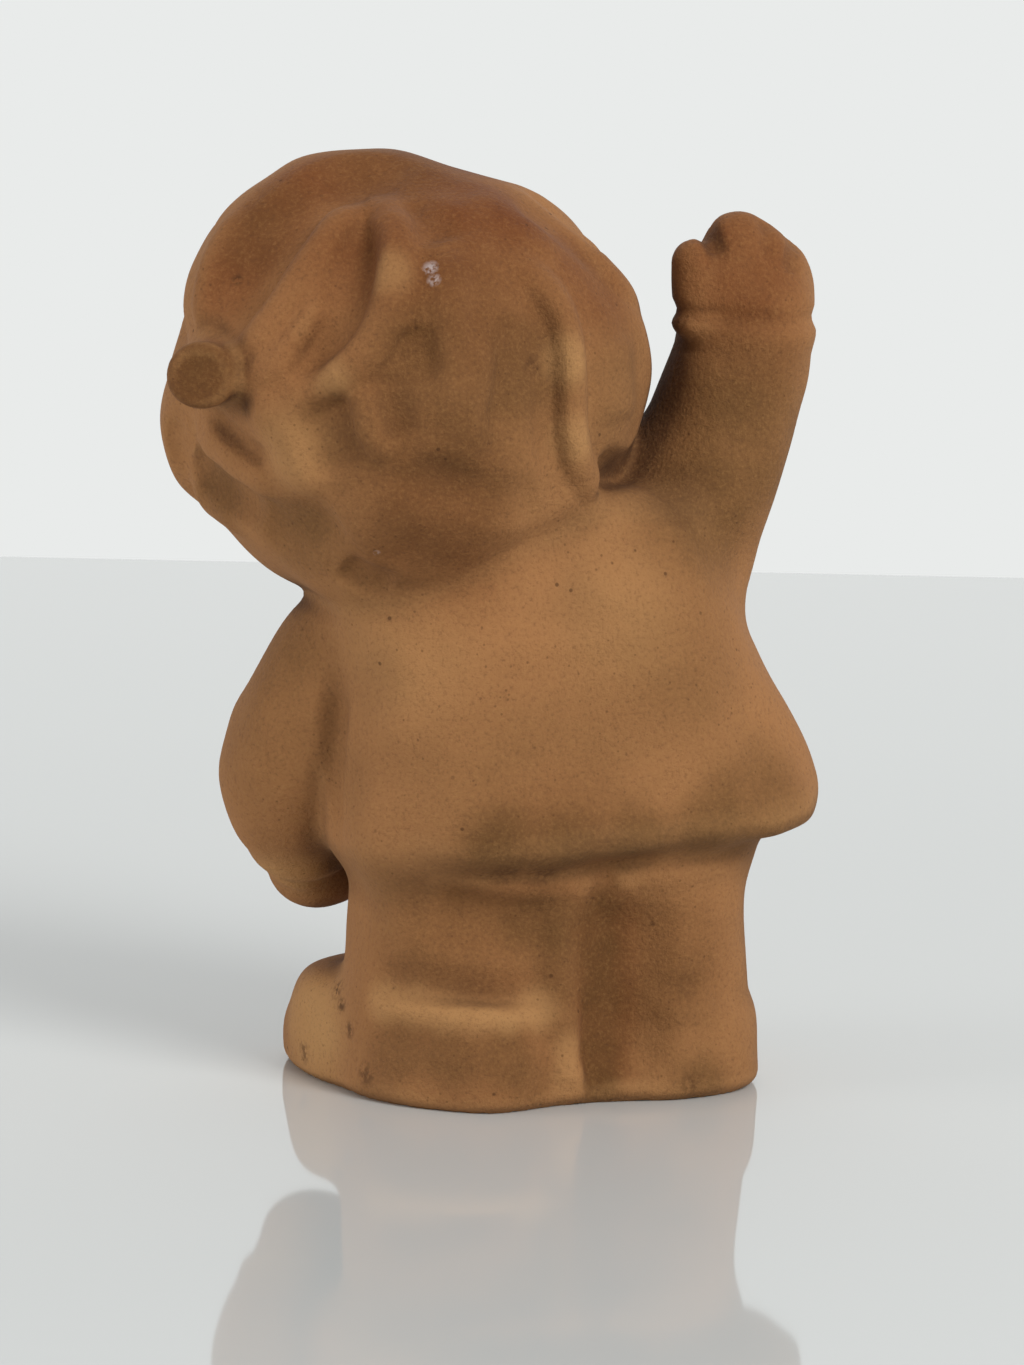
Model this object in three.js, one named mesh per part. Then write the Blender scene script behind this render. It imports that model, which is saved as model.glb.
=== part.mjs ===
// Haniwa figure: one moulded and fired piece of bare terracotta, a child in old dress with one arm
// raised. Millimetres, +Z up. The figure faces -Y and its own left hand is on the +X side.
// The shape is a field of distances, worked like clay: masses are joined softly, then lines are
// pressed in and strands are raised. The field is then covered with one closed skin.
import * as THREE from 'three';

// Overall sizes, mm
const HEIGHT = 72;
const WIDTH = 51.8;
const DEPTH = 35.2;

// Sizes of single features, mm
const KNOT_RADIUS = 2.6;
const KNOT_LENGTH = 2.6;
const BOOT_HEIGHT = 7.8;
const SLEEVE_RADIUS = 5.2;
const HEM_LIFT = 2.0;
const LEG_GROOVE_DEPTH = 1.7;
const SOLE_EDGE = 1.1;

// Fired clay
const CLAY = 0xa8764d;
const CLAY_ROUGHNESS = 0.9;

// The drawing below is in shares: one share is about a hundredth of the height.
const DRAWN_HEIGHT = 96.4;
const DRAWN_WIDTH = 69.4;
const DRAWN_DEPTH = 47.2;
const MM = DRAWN_HEIGHT / 72;
const CELL = 2.3;

// Small sums on points
const sub = (a, b) => [a[0] - b[0], a[1] - b[1], a[2] - b[2]];
const dot = (a, b) => a[0] * b[0] + a[1] * b[1] + a[2] * b[2];
const size = (a) => Math.hypot(a[0], a[1], a[2]);
const clamp = (x, low, high) => Math.min(Math.max(x, low), high);
const ramp = (x, low, high) => {
  const t = clamp((x - low) / (high - low), 0, 1);
  return t * t * (3 - 2 * t);
};

// Two masses pressed together with a fillet, and the part that two masses share
const join = (a, b, soft) => {
  const h = Math.max(soft - Math.abs(a - b), 0) / soft;
  return Math.min(a, b) - (h * h * soft) / 4;
};
const overlap = (a, b, soft) => -join(-a, -b, soft);

// The left, back and up directions of a mass that is turned about +Z and then leans to its left
const turned = (degrees, lean = 0) => {
  const z = THREE.MathUtils.degToRad(degrees);
  const l = THREE.MathUtils.degToRad(lean);
  return [
    [Math.cos(z) * Math.cos(l), Math.sin(z) * Math.cos(l), -Math.sin(l)],
    [-Math.sin(z), Math.cos(z), 0],
    [Math.cos(z) * Math.sin(l), Math.sin(z) * Math.sin(l), Math.cos(l)],
  ];
};
const UPRIGHT = turned(0);
const local = (p, centre, axes = UPRIGHT) => {
  const q = sub(p, centre);
  return [dot(q, axes[0]), dot(q, axes[1]), dot(q, axes[2])];
};

// An egg, and a fuller egg whose power above 2 squares its sides
const egg = (q, centre, radii) => {
  const s = sub(q, centre).map((x, i) => x / radii[i]);
  const k = size(s);
  const slope = size(s.map((x, i) => x / radii[i]));
  return (k * (k - 1)) / Math.max(slope, 1e-9);
};
const fullEgg = (q, radii, power) => {
  const s = q.map((x, i) => Math.abs(x / radii[i]));
  const k = s.reduce((sum, x) => sum + x ** power, 0) ** (1 / power);
  const slope = size(s.map((x, i) => x ** (power - 1) / radii[i]));
  return (k - 1) / Math.max(slope / Math.max(k, 1e-6) ** (power - 1), 1e-6);
};

// A roll of clay between two points, and how far a point is from a path
const roll = (p, a, b, startRadius, endRadius) => {
  const ab = sub(b, a);
  const ap = sub(p, a);
  const t = clamp(dot(ap, ab) / dot(ab, ab), 0, 1);
  return size(sub(ap, ab.map((x) => x * t))) - (startRadius + (endRadius - startRadius) * t);
};
const toPath = (p, path) => {
  let nearest = Infinity;
  for (let i = 1; i < path.length; i += 1) {
    nearest = Math.min(nearest, roll(p, path[i - 1], path[i], 0, 0));
  }
  return nearest;
};

// A smooth curve through rows of numbers
const smooth = (rows, steps) => {
  const beyond = (a, b) => a.map((x, i) => 2 * x - b[i]);
  const last = rows.length - 1;
  const keys = [beyond(rows[0], rows[1]), ...rows, beyond(rows[last], rows[last - 1])];
  const points = [];
  for (let i = 1; i <= last; i += 1) {
    for (let j = 0; j < steps; j += 1) {
      const t = j / steps;
      points.push(rows[0].map((_, n) => {
        const [a, b, c, d] = [keys[i - 1][n], keys[i][n], keys[i + 1][n], keys[i + 2][n]];
        const bend = 2 * a - 5 * b + 4 * c - d;
        const twist = 3 * b - a - 3 * c + d;
        return 0.5 * (2 * b + (c - a) * t + bend * t * t + twist * t ** 3);
      }));
    }
  }
  points.push(rows[last]);
  return points;
};

// A limb is a chain of rolls: x, y, z, radius
const limb = (rows) => {
  const chain = smooth(rows, 6);
  return (p) => {
    let nearest = Infinity;
    for (let i = 1; i < chain.length; i += 1) {
      const [a, b] = [chain[i - 1], chain[i]];
      nearest = Math.min(nearest, roll(p, a, b, a[3], b[3]));
    }
    return nearest;
  };
};

// A standing body with a squarish round section: height, centre x, half width, half depth
const standing = (rows, power) => {
  const curve = smooth(rows, 6);
  return (p) => {
    const z = clamp(p[2], curve[0][0], curve[curve.length - 1][0]);
    let i = 1;
    while (i < curve.length - 1 && curve[i][0] < z) {
      i += 1;
    }
    const t = (z - curve[i - 1][0]) / (curve[i][0] - curve[i - 1][0]);
    const [centre, wide, deep] = [1, 2, 3].map((n) => curve[i - 1][n] + (curve[i][n] - curve[i - 1][n]) * t);
    const x = (p[0] - centre) / wide;
    const y = p[1] / deep;
    const k = (Math.abs(x) ** power + Math.abs(y) ** power) ** (1 / power);
    const slope = Math.hypot(x / wide, y / deep) / Math.max(Math.hypot(x, y), 0.2);
    return (k - 1) / Math.max(slope, 1e-6);
  };
};

// A rounded stroke: 1 on its path, 0 at twice its width
const stroke = (distance, width) => {
  const t = clamp(1 - (distance / (2 * width)) ** 2, 0, 1);
  return t * t;
};

// The tunic flares to a hem that lifts towards the right hand.
const tunicBody = standing([
  [20, -3.2, 26.6, 17.6],
  [27, -3.2, 26.9, 17.6],
  [31, -2.6, 26.2, 17.2],
  [36, -1.6, 24.8, 16.4],
  [44, -0.2, 22.6, 15.6],
  [52, 1.6, 21.2, 15.0],
  [60, 3.0, 18.5, 13.6],
], 2.5);
const HEM_HEIGHT = 26.8;
const HEM_SLOPE = (2 * HEM_LIFT * MM) / 52;
const tunic = (p) => {
  const hem = HEM_HEIGHT - HEM_SLOPE * p[0];
  const open = overlap(tunicBody(p), hem - p[2], 2);
  return overlap(open, p[2] - 63, 6);
};

// Both trouser legs are one mass, parted by a groove at the back and the front.
const trouserBody = standing([
  [-4, 0, 22.0, 14.6],
  [10, 0, 21.2, 13.6],
  [20, 0, 20.6, 13.4],
  [30, 0, 20.6, 13.6],
  [40, 0, 19.0, 13.0],
], 2.8);
const trousers = (p) => overlap(trouserBody(p), p[2] - 36, 2);
const legGroove = (p) => {
  const below = ramp(-p[2], -27, -23);
  const outside = ramp(Math.abs(p[1]), 6, 10);
  return LEG_GROOVE_DEPTH * MM * stroke(Math.abs(p[0]), 1.8) * below * outside;
};

// Boots: a rounded shoe with a fuller toe. The left one points outwards.
const SOLE_MIDDLE = 2;
const bootHalf = BOOT_HEIGHT * MM - SOLE_MIDDLE;
const leftTurn = turned(22);
const rightTurn = turned(-5);
const boot = (p, heel, heelRadii, toe, toeRadii, axes) => {
  const back = fullEgg(local(p, heel, axes), heelRadii, 2.9);
  const front = fullEgg(local(p, toe, axes), toeRadii, 2.4);
  return join(back, front, 3);
};
const boots = (p) => Math.min(
  boot(p, [11.8, -1.6, SOLE_MIDDLE], [10.8, 15.4, bootHalf],
    [14.8, -11, SOLE_MIDDLE], [9.6, 9.5, bootHalf + 2.6], leftTurn),
  boot(p, [-11.6, -2.4, SOLE_MIDDLE], [11.2, 15, bootHalf],
    [-12, -12, SOLE_MIDDLE], [9.8, 9.5, bootHalf + 1.6], rightTurn),
);

// Arms: wide sleeves with mitten hands. The right one is raised beside the head.
const sleeve = SLEEVE_RADIUS * MM;
const raisedSleeve = limb([
  [-9, -2, 46, sleeve * 1.37],
  [-12.6, -1.5, 58, sleeve * 1.28],
  [-16.6, 0, 68, sleeve * 1.15],
  [-20.2, 1.5, 78.4, sleeve],
]);
const loweredSleeve = limb([
  [15, -2, 54, sleeve * 1.15],
  [20.8, -5, 44, sleeve * 1.21],
  [24, -10, 33, sleeve * 1.15],
  [22, -16.5, 25, sleeve * 0.89],
]);
const raisedPalm = turned(18, 8);
const raisedHand = (p) => {
  const palm = egg(local(p, [-21, 2, 84], raisedPalm), [0, 0, 0], [6.2, 4.6, 7.4]);
  const thumb = roll(p, [-17, 3, 82], [-14.6, 3.6, 87], 2.6, 1.9);
  return join(palm, thumb, 1.5);
};
const loweredHand = (p) => egg(p, [19.4, -19.2, 21.2], [5.2, 5.2, 5.6]);

// The head is turned and leans to its left. Its strokes are drawn in degrees on a ball: turn from
// the middle of the back towards the left ear, then height above the ears.
const HEAD = [14.6, -3, 74.2];
const headAxes = turned(22, 11);
const BALL = 24;
const onBall = ([turn, height]) => {
  const a = THREE.MathUtils.degToRad(turn);
  const b = THREE.MathUtils.degToRad(height);
  return [Math.sin(a) * Math.cos(b) * BALL, Math.cos(a) * Math.cos(b) * BALL, Math.sin(b) * BALL];
};
const strokes = (rows) => rows.map(([height, width, path]) => ({ height, width, path: path.map(onBall) }));
const hairAcross = strokes([
  [-0.9, 2.0, [[172, 35], [168, 60], [120, 80], [37, 64], [21, 47], [12, 38]]],
  [1.2, 1.7, [[12, 37], [2, 28], [-3, 19], [-5, 8], [-3, -6], [-4, -17], [-14, -30]]],
  [1.2, 2.0, [[38, 58], [38, 40], [44, 25], [52, 13], [64, 5]]],
  [-0.9, 1.6, [[52, 46], [53, 31], [57, 20], [64, 11]]],
  [0.9, 1.8, [[51, 8], [50, -3], [46, -14]]],
  [-1.2, 4.0, [[-20, -30], [-40, -36]]],
]);
const hairEachSide = strokes([
  [-1.3, 1.9, [[72, 60], [77, 46], [83, 33], [92, 20]]],
  [1.0, 1.9, [[52, 64], [60, 53], [69, 42], [77, 31], [88, 18]]],
  [0.8, 1.8, [[58, 36], [64, 26], [68, 17], [82, 9]]],
  [1.0, 1.9, [[112, -5], [94, -7], [83, -14]]],
  [1.1, 2.1, [[78, 4], [74, -6], [70, -18]]],
  [-0.9, 1.6, [[124, -11], [108, -17], [96, -22]]],
]);
const nose = strokes([[1.9, 1.5, [[180, 2], [180, -8], [180, -16]]]]);
const raised = (ball, rows) => rows.reduce(
  (sum, { height, width, path }) => sum + height * stroke(toPath(ball, path), width), 0);

// A hollow with a soft edge, drawn on the ball by its centre and half sizes
const hollow = (n, centre, half) => {
  const reach = Math.hypot((n[0] - centre[0]) / half[0], (n[2] - centre[1]) / half[1]);
  return n[1] < 0 ? 1 - ramp(reach, 0.5, 1.3) : 0;
};
const FACE_FRONT = [0, -0.963, -0.27];
const faceSunk = (n) => {
  const oval = dot(n, FACE_FRONT) - 0.14 * Math.abs(n[0]);
  const eye = hollow([Math.abs(n[0]), n[1], n[2]], [0.34, -0.1], [0.16, 0.075]);
  const mouth = hollow(n, [0, -0.5], [0.14, 0.06]);
  return 1.1 * ramp(oval, 0.66, 0.74) + 1.3 * eye + 1.2 * mouth;
};

// A knot of hair is a short boss that widens to a flat end with a rounded rim.
const LEFT_KNOT = [24.4, 0, 4];
const RIGHT_KNOT = [23.2, -6, 4];
const knot = (q, side, root) => {
  const a = sub([q[0] * side, q[1], q[2]], root);
  const past = a[0] - KNOT_LENGTH * MM;
  const around = Math.hypot(a[1], a[2]) - KNOT_RADIUS * MM - 0.06 * past;
  const rim = 1.2;
  const [u, w] = [around + rim, Math.max(past, -a[0] - 8) + rim];
  return Math.hypot(Math.max(u, 0), Math.max(w, 0)) + Math.min(Math.max(u, w), 0) - rim;
};

const head = (p) => {
  const q = local(p, HEAD, headAxes);
  let d = fullEgg(q, [22.4, 21.4, 21.8], 2.2);
  d = join(d, egg(q, [5.5, -6, 7.6], [14.5, 12.5, 16]), 3);
  d = join(d, egg(q, [-12, 8, -1.5], [10.4, 11, 10.5]), 3);
  d = join(d, egg([Math.abs(q[0]), q[1], q[2]], [12.5, -12.2, -4], [9.5, 9.4, 9]), 2);
  d = join(d, Math.min(knot(q, 1, LEFT_KNOT), knot(q, -1, RIGHT_KNOT)), 1.6);
  if (d > 6 || d < -8) {
    return d;
  }
  const far = Math.max(size(q), 1e-6);
  const n = q.map((x) => x / far);
  const ball = n.map((x) => x * BALL);
  const mirrored = [-ball[0], ball[1], ball[2]];
  const up = raised(ball, hairAcross) + raised(ball, hairEachSide) + raised(mirrored, hairEachSide) + raised(ball, nose);
  return d - up + faceSunk(n);
};

// The whole figure, flattened under the soles
const neck = (p) => roll(p, [8, -2, 54], [12, -3, 66], 13, 13);
const figureField = (p) => {
  let d = join(tunic(p), trousers(p), 3);
  d = join(d, boots(p), 1.5);
  d = join(d, loweredSleeve(p), 2.4);
  d = join(d, loweredHand(p), 1.2);
  d = join(d, raisedSleeve(p), 3);
  d = join(d, raisedHand(p), 0.8);
  d = join(d, neck(p), 3);
  d = join(d, head(p), 3.2);
  d += legGroove(p);
  return overlap(d, -p[2], SOLE_EDGE * MM);
};

// The skin: one point in each cell the surface crosses, moved onto the surface, four-sided faces
// between neighbouring cells.
const LOW = [-36, -36, -4];
const HIGH = [50, 28, 106];

// Clay fills a gap that is too thin for the cell: no four corners of a cell's side may alternate.
function fillThinGaps(grid, count, at, cell) {
  let filled = 0;
  const look = (corner, u, w) => {
    const ring = [[0, 0], [1, 0], [1, 1], [0, 1]].map(([du, dw]) => {
      const c = [...corner];
      c[u] += du;
      c[w] += dw;
      return at(...c);
    });
    const [a, b, c, d] = ring.map((n) => grid[n] < 0);
    if (a === c && b === d && a !== b) {
      const [one, other] = a ? [ring[1], ring[3]] : [ring[0], ring[2]];
      grid[grid[one] < grid[other] ? one : other] = -cell / 10;
      filled += 1;
    }
  };
  for (let i = 0; i + 1 < count[0]; i += 1) {
    for (let j = 0; j + 1 < count[1]; j += 1) {
      for (let k = 0; k + 1 < count[2]; k += 1) {
        [[0, 1], [1, 2], [2, 0]].forEach(([u, w]) => look([i, j, k], u, w));
      }
    }
  }
  return filled;
}

function coverField(field, cell) {
  const count = LOW.map((low, i) => Math.ceil((HIGH[i] - low) / cell) + 1);
  const at = (i, j, k) => (i * count[1] + j) * count[2] + k;
  const grid = new Float64Array(count[0] * count[1] * count[2]);
  for (let i = 0; i < count[0]; i += 1) {
    for (let j = 0; j < count[1]; j += 1) {
      for (let k = 0; k < count[2]; k += 1) {
        grid[at(i, j, k)] = field([LOW[0] + i * cell, LOW[1] + j * cell, LOW[2] + k * cell]);
      }
    }
  }
  while (fillThinGaps(grid, count, at, cell) > 0);
  const corners = [];
  for (let n = 0; n < 8; n += 1) {
    corners.push([n & 1, (n >> 1) & 1, (n >> 2) & 1]);
  }
  const points = [];
  const number = new Int32Array(grid.length).fill(-1);
  const visit = (i, j, k) => {
    const values = corners.map((c) => grid[at(i + c[0], j + c[1], k + c[2])]);
    const inside = values.filter((x) => x < 0).length;
    if (inside === 0 || inside === 8) {
      return;
    }
    const middle = [0, 0, 0];
    let crossings = 0;
    for (let a = 0; a < 8; a += 1) {
      for (const bit of [1, 2, 4]) {
        const b = a | bit;
        if (b !== a && (values[a] < 0) !== (values[b] < 0)) {
          const t = values[a] / (values[a] - values[b]);
          for (let n = 0; n < 3; n += 1) {
            middle[n] += corners[a][n] + t * (corners[b][n] - corners[a][n]);
          }
          crossings += 1;
        }
      }
    }
    number[at(i, j, k)] = points.length;
    points.push([i, j, k].map((x, n) => LOW[n] + cell * (x + middle[n] / crossings)));
  };
  for (let i = 0; i + 1 < count[0]; i += 1) {
    for (let j = 0; j + 1 < count[1]; j += 1) {
      for (let k = 0; k + 1 < count[2]; k += 1) {
        visit(i, j, k);
      }
    }
  }
  const faces = [];
  const edge = (i, j, k, axis) => {
    const here = grid[at(i, j, k)] < 0;
    const next = [i, j, k];
    next[axis] += 1;
    if (here === grid[at(...next)] < 0) {
      return;
    }
    const [u, w] = [(axis + 1) % 3, (axis + 2) % 3];
    const ring = [[-1, -1], [0, -1], [0, 0], [-1, 0]].map(([du, dw]) => {
      const c = [i, j, k];
      c[u] += du;
      c[w] += dw;
      return number[at(...c)];
    });
    faces.push(here ? ring : ring.reverse());
  };
  for (let i = 1; i + 1 < count[0]; i += 1) {
    for (let j = 1; j + 1 < count[1]; j += 1) {
      for (let k = 1; k + 1 < count[2]; k += 1) {
        [0, 1, 2].forEach((axis) => edge(i, j, k, axis));
      }
    }
  }
  return { points, faces };
}

// Moves a point along the field's slope to the surface, and no further than half a cell.
function settle(field, start) {
  const step = 0.25;
  let p = start;
  for (let round = 0; round < 4; round += 1) {
    const slope = [0, 1, 2].map((n) => {
      const ahead = [...p];
      const behind = [...p];
      ahead[n] += step;
      behind[n] -= step;
      return (field(ahead) - field(behind)) / (2 * step);
    });
    const move = field(p) / Math.max(dot(slope, slope), 0.5);
    p = p.map((x, n) => x - move * slope[n]);
    const away = sub(p, start);
    const reach = Math.min(1, CELL / 2 / Math.max(size(away), 1e-6));
    p = start.map((x, n) => x + away[n] * reach);
  }
  return p;
}

// Draws each point halfway to the middle of its neighbours, which evens the faces out.
function relax({ points, faces }) {
  const sums = points.map(() => [0, 0, 0, 0]);
  const see = (a, b) => {
    points[b].forEach((x, n) => {
      sums[a][n] += x;
    });
    sums[a][3] += 1;
  };
  faces.forEach((ring) => ring.forEach((a, n) => {
    see(a, ring[(n + 1) % 4]);
    see(a, ring[(n + 3) % 4]);
  }));
  return points.map((p, a) => p.map((x, n) => (x + sums[a][n] / sums[a][3]) / 2));
}

// Splits each face along its shorter diagonal.
function triangles({ points, faces }) {
  const gap = (a, b) => size(sub(points[a], points[b]));
  return faces.flatMap(([a, b, c, d]) => (gap(a, c) < gap(b, d) ? [a, b, c, a, c, d] : [a, b, d, b, c, d]));
}

// A closed skin has every edge once each way.
function isClosed(indices) {
  const seen = new Map();
  for (let i = 0; i < indices.length; i += 3) {
    for (let n = 0; n < 3; n += 1) {
      const a = indices[i + n];
      const b = indices[i + ((n + 1) % 3)];
      seen.set(`${a}>${b}`, (seen.get(`${a}>${b}`) ?? 0) + 1);
    }
  }
  return [...seen].every(([key, times]) => {
    const [a, b] = key.split('>');
    return times === 1 && seen.get(`${b}>${a}`) === 1;
  });
}

// Puts the skin at its size with the soles flat on z = 0 and the box centred on the Z axis.
function finish(skin) {
  const scale = [WIDTH / DRAWN_WIDTH, DEPTH / DRAWN_DEPTH, HEIGHT / DRAWN_HEIGHT];
  const flatBelow = 0.12;
  const faces = skin.faces;
  const even = relax({ points: relax(skin), faces });
  const placed = even.map((p) => {
    const q = settle(figureField, p);
    q[2] = q[2] < flatBelow ? 0 : q[2];
    return q.map((x, n) => x * scale[n]);
  });
  const box = new THREE.Box3().setFromPoints(placed.map((p) => new THREE.Vector3(...p)));
  const centre = box.getCenter(new THREE.Vector3());
  return { points: placed.map((p) => [p[0] - centre.x, p[1] - centre.y, p[2]]), faces };
}

const skin = finish(coverField(figureField, CELL));
if (!isClosed(triangles(skin))) {
  throw new Error('the skin does not close');
}
const geometry = new THREE.BufferGeometry();
geometry.setAttribute('position', new THREE.Float32BufferAttribute(skin.points.flat(), 3));
geometry.setIndex(triangles(skin));
geometry.computeVertexNormals();

const figure = new THREE.Mesh(
  geometry,
  new THREE.MeshStandardMaterial({ color: CLAY, roughness: CLAY_ROUGHNESS, metalness: 0 }),
);
figure.name = 'haniwa_figure';

const group = new THREE.Group();
group.name = 'haniwa';
group.add(figure);

export default group;
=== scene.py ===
# %% [markdown]
# # A haniwa figure in bare terracotta
#
# The object is a souvenir figure about 72 mm tall: a child in old dress, one arm raised, hair
# parted in the middle and tied in a knot at each ear. It is one piece of fired clay, pressed in a
# mould, so everything on it is soft: strands, folds and hem are low, rounded relief.
#
# The lesson builds it the way a modeller works clay. Plain masses are pressed together, then
# strokes raise or sink lines on them. All of it is one field of distances, which is negative
# inside the clay. At the end one fine skin is laid over the field and becomes the mesh.

import bpy
import numpy as np
from mathutils import Matrix, Vector


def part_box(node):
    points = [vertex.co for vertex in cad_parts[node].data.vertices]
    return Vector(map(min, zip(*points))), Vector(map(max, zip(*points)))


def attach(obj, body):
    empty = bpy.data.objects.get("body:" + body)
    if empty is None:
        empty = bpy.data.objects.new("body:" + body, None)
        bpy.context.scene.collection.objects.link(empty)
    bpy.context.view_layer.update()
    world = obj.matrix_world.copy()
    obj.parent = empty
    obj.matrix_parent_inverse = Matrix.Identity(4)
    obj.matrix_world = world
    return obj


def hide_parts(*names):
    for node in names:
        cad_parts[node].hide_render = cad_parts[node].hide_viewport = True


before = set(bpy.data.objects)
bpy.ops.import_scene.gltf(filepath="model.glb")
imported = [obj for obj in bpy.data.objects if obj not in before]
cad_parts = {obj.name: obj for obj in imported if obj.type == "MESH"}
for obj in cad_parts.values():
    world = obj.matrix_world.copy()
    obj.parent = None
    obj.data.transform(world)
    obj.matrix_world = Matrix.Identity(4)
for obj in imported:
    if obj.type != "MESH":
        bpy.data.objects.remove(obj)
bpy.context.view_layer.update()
low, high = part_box("haniwa_figure")
print("CAD box, mm:", [[round(x * 1000, 1) for x in corner] for corner in (low, high)])

# %% [markdown]
# ## One measure for everything
#
# The form is drawn in shares: the figure is 96.4 shares tall, so a share is about 0.75 mm. The
# drawing's own origin is between the feet, and the frame's origin is the middle of the box, so one
# offset joins the two.

# %% Shares and metres
DRAWN_HEIGHT = 96.4
DRAWN_CENTRE = np.array([6.33, -4.60, 0.0])
SHARE = (high[2] - low[2]) / DRAWN_HEIGHT
MM_PER_SHARE = SHARE * 1000


def to_metres(points):
    return (np.asarray(points, float) - DRAWN_CENTRE) * SHARE


print("one share is", round(MM_PER_SHARE, 3), "mm")

# %% [markdown]
# ## The camera
#
# The figure is seen from behind and a little from its left, from slightly above. A long lens keeps
# the perspective gentle, as in a product photograph, and the camera leans by about one degree.

# %% Camera
CAMERA_TURN = 162.0
CAMERA_RISE = 7.0
CAMERA_LEAN = 1.2
CAMERA_SHARES = 450
LOOKED_AT = np.array([3.6, -1.2, 42.0])
CAMERA_DISTANCE = CAMERA_SHARES * SHARE
LOOK_AT = to_metres(LOOKED_AT)
LENS_MM = 75.8
FILM_HEIGHT_MM = 24.0


def camera_axes(turn, rise, lean):
    turn, rise, lean = np.radians([turn, rise, lean])
    back = np.array([np.sin(turn) * np.cos(rise), -np.cos(turn) * np.cos(rise), np.sin(rise)])
    right = np.array([np.cos(turn), np.sin(turn), 0.0])
    up = np.cross(back, right)
    leaned_right = np.cos(lean) * right + np.sin(lean) * up
    leaned_up = np.cos(lean) * up - np.sin(lean) * right
    return leaned_right, leaned_up, back


camera = bpy.data.objects.new("camera", bpy.data.cameras.new("camera"))
bpy.context.collection.objects.link(camera)
right, up, back = camera_axes(CAMERA_TURN, CAMERA_RISE, CAMERA_LEAN)
camera.matrix_world = Matrix.Translation(Vector(LOOK_AT + CAMERA_DISTANCE * back)) @ Matrix(
    np.array([right, up, back]).T.tolist()).to_4x4()
camera.data.sensor_fit = "VERTICAL"
camera.data.sensor_height = FILM_HEIGHT_MM
camera.data.lens = LENS_MM
camera.data.clip_start = 0.01
bpy.context.scene.camera = camera
print("camera", [round(x, 3) for x in camera.matrix_world.translation], "m")

# %% [markdown]
# ## Working clay with numbers
#
# Two masses pressed together leave a fillet, not a seam: that is what `join` does. `overlap` keeps
# only what two masses share, and is used to trim. Each mass is a function of points, and gives
# each point's distance to its surface.

# %% Clay tools: join, trim, turn
def length(q):
    return np.sqrt(np.einsum("ij,ij->i", q, q))


def join(a, b, soft):
    blend = np.maximum(soft - np.abs(a - b), 0) / soft
    return np.minimum(a, b) - blend * blend * soft / 4


def overlap(a, b, soft):
    return -join(-a, -b, soft)


def ramp(x, start, end):
    t = np.clip((x - start) / (end - start), 0, 1)
    return t * t * (3 - 2 * t)


def turned(about_z, lean_left=0.0):
    """Columns are the left, back and up directions of a mass that is turned and leans."""
    z, lean = np.radians([about_z, lean_left])
    turn = np.array([[np.cos(z), -np.sin(z), 0], [np.sin(z), np.cos(z), 0], [0, 0, 1]])
    tilt = np.array([[np.cos(lean), 0, np.sin(lean)], [0, 1, 0], [-np.sin(lean), 0, np.cos(lean)]])
    return turn @ tilt


def local(p, centre, axes):
    return (p - np.array(centre, float)) @ axes


touching = np.zeros(1)
print("two surfaces that cross swell by", -join(touching, touching, 3)[0], "shares at softness 3")


# %% Clay masses: egg, full egg, roll
def egg(q, centre, radii):
    s = (q - np.array(centre, float)) / np.array(radii, float)
    k = length(s)
    return k * (k - 1) / np.maximum(length(s / np.array(radii, float)), 1e-9)


def full_egg(q, radii, power):
    """An egg whose sides are squarer, the more its power is above 2."""
    radii = np.array(radii, float)
    s = np.abs(q / radii)
    k = (s ** power).sum(1) ** (1 / power)
    slope = length(s ** (power - 1) / radii) / np.maximum(k, 1e-6) ** (power - 1)
    return (k - 1) / np.maximum(slope, 1e-6)


def roll(p, a, b, start_radius, end_radius):
    a, ab = np.asarray(a, float), np.asarray(b, float) - np.asarray(a, float)
    t = np.clip((p - a) @ ab / (ab @ ab), 0, 1)
    return length(p - a - t[:, None] * ab) - (start_radius + (end_radius - start_radius) * t)


above = np.array([[0.0, 0.0, 5.0]])
print("2 shares over an egg, the egg reads", egg(above, (0, 0, 0), (4, 4, 3)).round(2))


# %% Clay masses: limb and standing body, both from a few rows of sizes
def smooth(rows, steps):
    """A smooth curve through every row."""
    k = np.array(rows, float)
    k = np.vstack([2 * k[0] - k[1], k, 2 * k[-1] - k[-2]])
    out = []
    for a, b, c, d in zip(k, k[1:], k[2:], k[3:]):
        for t in np.arange(steps) / steps:
            bend = 2 * a - 5 * b + 4 * c - d
            twist = 3 * b - a - 3 * c + d
            out.append(0.5 * (2 * b + (c - a) * t + bend * t ** 2 + twist * t ** 3))
    return np.array(out + [k[-2]])


def limb(p, rows):
    """Rows of x, y, z, radius. Points far from the limb get only their distance to its ball."""
    chain = smooth(rows, 14)
    middle = chain[:, :3].mean(0)
    reach = (length(chain[:, :3] - middle) + chain[:, 3]).max()
    d = length(p - middle) - reach
    close = d < 8
    rolls = [roll(p[close], a[:3], b[:3], a[3], b[3]) for a, b in zip(chain, chain[1:])]
    d[close] = np.min(rolls, axis=0)
    return d


def standing(p, rows, power):
    """Rows of height, centre x, half width, half depth."""
    curve = smooth(rows, 8)
    centre, wide, deep = (np.interp(p[:, 2], curve[:, 0], curve[:, n]) for n in (1, 2, 3))
    x, y = (p[:, 0] - centre) / wide, p[:, 1] / deep
    k = (np.abs(x) ** power + np.abs(y) ** power) ** (1 / power)
    slope = np.hypot(x / wide, y / deep) / np.maximum(np.hypot(x, y), 0.2)
    return (k - 1) / np.maximum(slope, 1e-6)


print(len(smooth([(0, 0), (1, 1), (2, 0)], 4)), "points on a smooth curve through three rows")

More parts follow.
